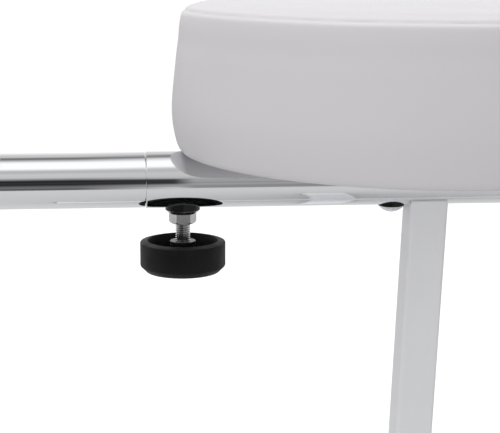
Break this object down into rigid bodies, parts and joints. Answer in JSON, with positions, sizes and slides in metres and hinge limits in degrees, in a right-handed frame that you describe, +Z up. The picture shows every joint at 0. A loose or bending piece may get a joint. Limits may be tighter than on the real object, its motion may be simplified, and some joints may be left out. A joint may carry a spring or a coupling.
{
  "type": "padded stool with a sliding backrest",
  "caption": "Round padded stool on a post with a cross foot; a chrome tube under the seat takes the arm of a padded backrest, clamped by a hand knob.",
  "frame": {"origin": "on the floor, under the middle of the whole part's box", "axes": "+Z up, X along the chrome tube with the backrest at -X, Y across the seat"},
  "size_m": [0.6612, 0.466, 0.7279],
  "materials": {
    "chrome": "polished",
    "zinc_steel": "zinc plated",
    "bright_steel": "polished",
    "black_nylon": "fine moulded grain",
    "nylon_pad": "moulded",
    "black_plastic": "moulded",
    "grey_plastic": "moulded",
    "painted_steel": "satin paint",
    "black_steel": "satin paint",
    "rubber": "matt",
    "white_board": "sealed white",
    "white_vinyl": "smooth vinyl",
    "foam": "open cell"
  },
  "bodies": {
    "stool": {"spine_tube": "chrome", "spine_end_plug": "black_plastic", "clamp_nut": "zinc_steel", "seat_plate": "black_steel", "seat_board": "white_board", "seat_foam": "foam", "seat_cover": "white_vinyl", "seat_screw_1": "bright_steel", "seat_screw_2": "bright_steel", "tee_nut_1": "zinc_steel", "tee_nut_2": "zinc_steel", "post": "painted_steel", "post_plug": "painted_steel", "post_bolt": "zinc_steel", "foot_bar_long": "painted_steel", "foot_bar_left": "painted_steel", "foot_bar_right": "painted_steel", "foot_cap_front": "grey_plastic", "foot_cap_back": "grey_plastic", "foot_cap_left": "grey_plastic", "foot_cap_right": "grey_plastic", "rubber_foot_1": "rubber", "rubber_foot_2": "rubber", "rubber_foot_3": "rubber", "rubber_foot_4": "rubber"},
    "backrest": {"back_arm": "chrome", "arm_top_cap": "black_plastic", "back_bracket": "black_steel", "back_board": "white_board", "back_foam": "foam", "back_cover": "white_vinyl", "back_screw_1": "zinc_steel", "back_screw_2": "zinc_steel", "back_screw_3": "zinc_steel", "back_screw_4": "zinc_steel"},
    "clamp_tip": {"clamp_pad": "nylon_pad"},
    "clamp_handle": {"clamp_screw": "zinc_steel", "clamp_knob": "black_nylon", "knob_insert": "black_plastic"}
  },
  "joints": [
    {"name": "back_arm_slide", "type": "slide", "parent": "stool", "child": "backrest", "axis": [-1, 0, 0], "range_m": [0, 0.06]},
    {"name": "clamp_feed", "type": "slide", "parent": "stool", "child": "clamp_tip", "axis": [0, 0, -1], "range_m": [0, 0.003]},
    {"name": "clamp_knob_turn", "type": "hinge", "parent": "clamp_tip", "child": "clamp_handle", "pos_m": [-0.07788, 0, 0.3115], "axis": [0, 0, -1], "range_deg": [0, 720]}
  ],
  "couplings": [
    {"joint": "clamp_knob_turn", "follows": "clamp_feed", "rad_per_m": 4188.8}
  ]
}
